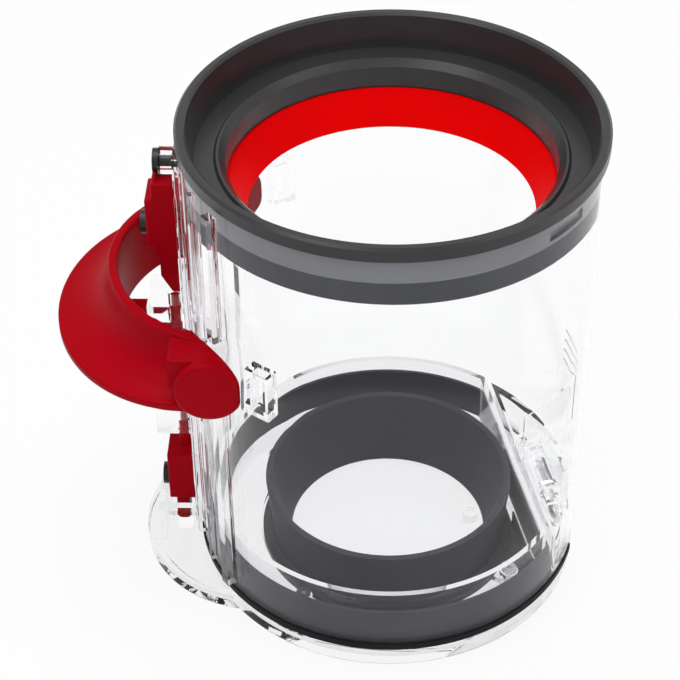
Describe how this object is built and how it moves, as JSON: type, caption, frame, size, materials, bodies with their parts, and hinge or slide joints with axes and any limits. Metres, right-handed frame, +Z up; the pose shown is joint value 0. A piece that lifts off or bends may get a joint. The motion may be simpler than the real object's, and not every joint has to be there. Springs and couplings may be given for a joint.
{
  "type": "cyclone dust bin",
  "caption": "Clear round vacuum dust bin with a dark collar, red wiper ring, hinged sealed base lid and a red thumb lever that works a push rod beside its latch.",
  "frame": {"origin": "on the tube's axis, at the lid's resting face", "axes": "+Z up along the tube's axis, -X towards the runner and the thumb lever, +X near the hinge"},
  "size_m": [0.1535, 0.117, 0.1526],
  "materials": {
    "clear_plastic": "clear gloss",
    "dark_plastic": "satin gloss",
    "dark_rubber": "matt",
    "black_rubber": "matt",
    "red_plastic": "satin gloss",
    "red_silicone": "satin",
    "black_steel": "black oxide",
    "steel": "bright"
  },
  "bodies": {
    "bin": {"bin_tube": "clear_plastic", "inlet_duct": "clear_plastic", "top_collar": "dark_plastic", "collar_seal": "dark_rubber", "shroud_wiper": "red_silicone", "wiper_clamp": "dark_plastic", "rod_guide": "clear_plastic", "runner_screws": "black_steel", "hinge_pin": "steel", "return_spring": "steel", "catch_spring": "steel"},
    "lid": {"base_lid": "clear_plastic", "rim_seal": "black_rubber", "skirt_seal": "dark_rubber", "funnel_seal": "dark_rubber", "seal_clamp": "clear_plastic", "clamp_screws": "steel"},
    "lever": {"thumb_lever": "red_plastic"},
    "rod": {"push_rod": "red_plastic"},
    "catch": {"release_catch": "red_plastic"}
  },
  "joints": [
    {"name": "lid_hinge", "type": "hinge", "parent": "bin", "child": "lid", "pos_m": [0.05077, 0.01125, 0.0052], "axis": [0.2164, -0.9763, 0], "range_deg": [0, 90]},
    {"name": "lever_pivot", "type": "hinge", "parent": "bin", "child": "lever", "pos_m": [-0.0483, 0, 0.0959], "axis": [0, -1, 0], "range_deg": [0, 12], "stiffness_Nm_per_rad": 0.25, "springref_deg": -8.59},
    {"name": "rod_slide", "type": "slide", "parent": "bin", "child": "rod", "axis": [0, 0, -1], "range_m": [0, 0.00545], "deforming": ["return_spring"]},
    {"name": "catch_slide", "type": "slide", "parent": "bin", "child": "catch", "axis": [0, 0, -1], "range_m": [0, 0.003], "stiffness_N_per_m": 400, "springref_m": -0.002, "deforming": ["catch_spring"]}
  ],
  "couplings": [
    {"joint": "rod_slide", "follows": "lever_pivot", "m_per_rad": 0.026}
  ]
}
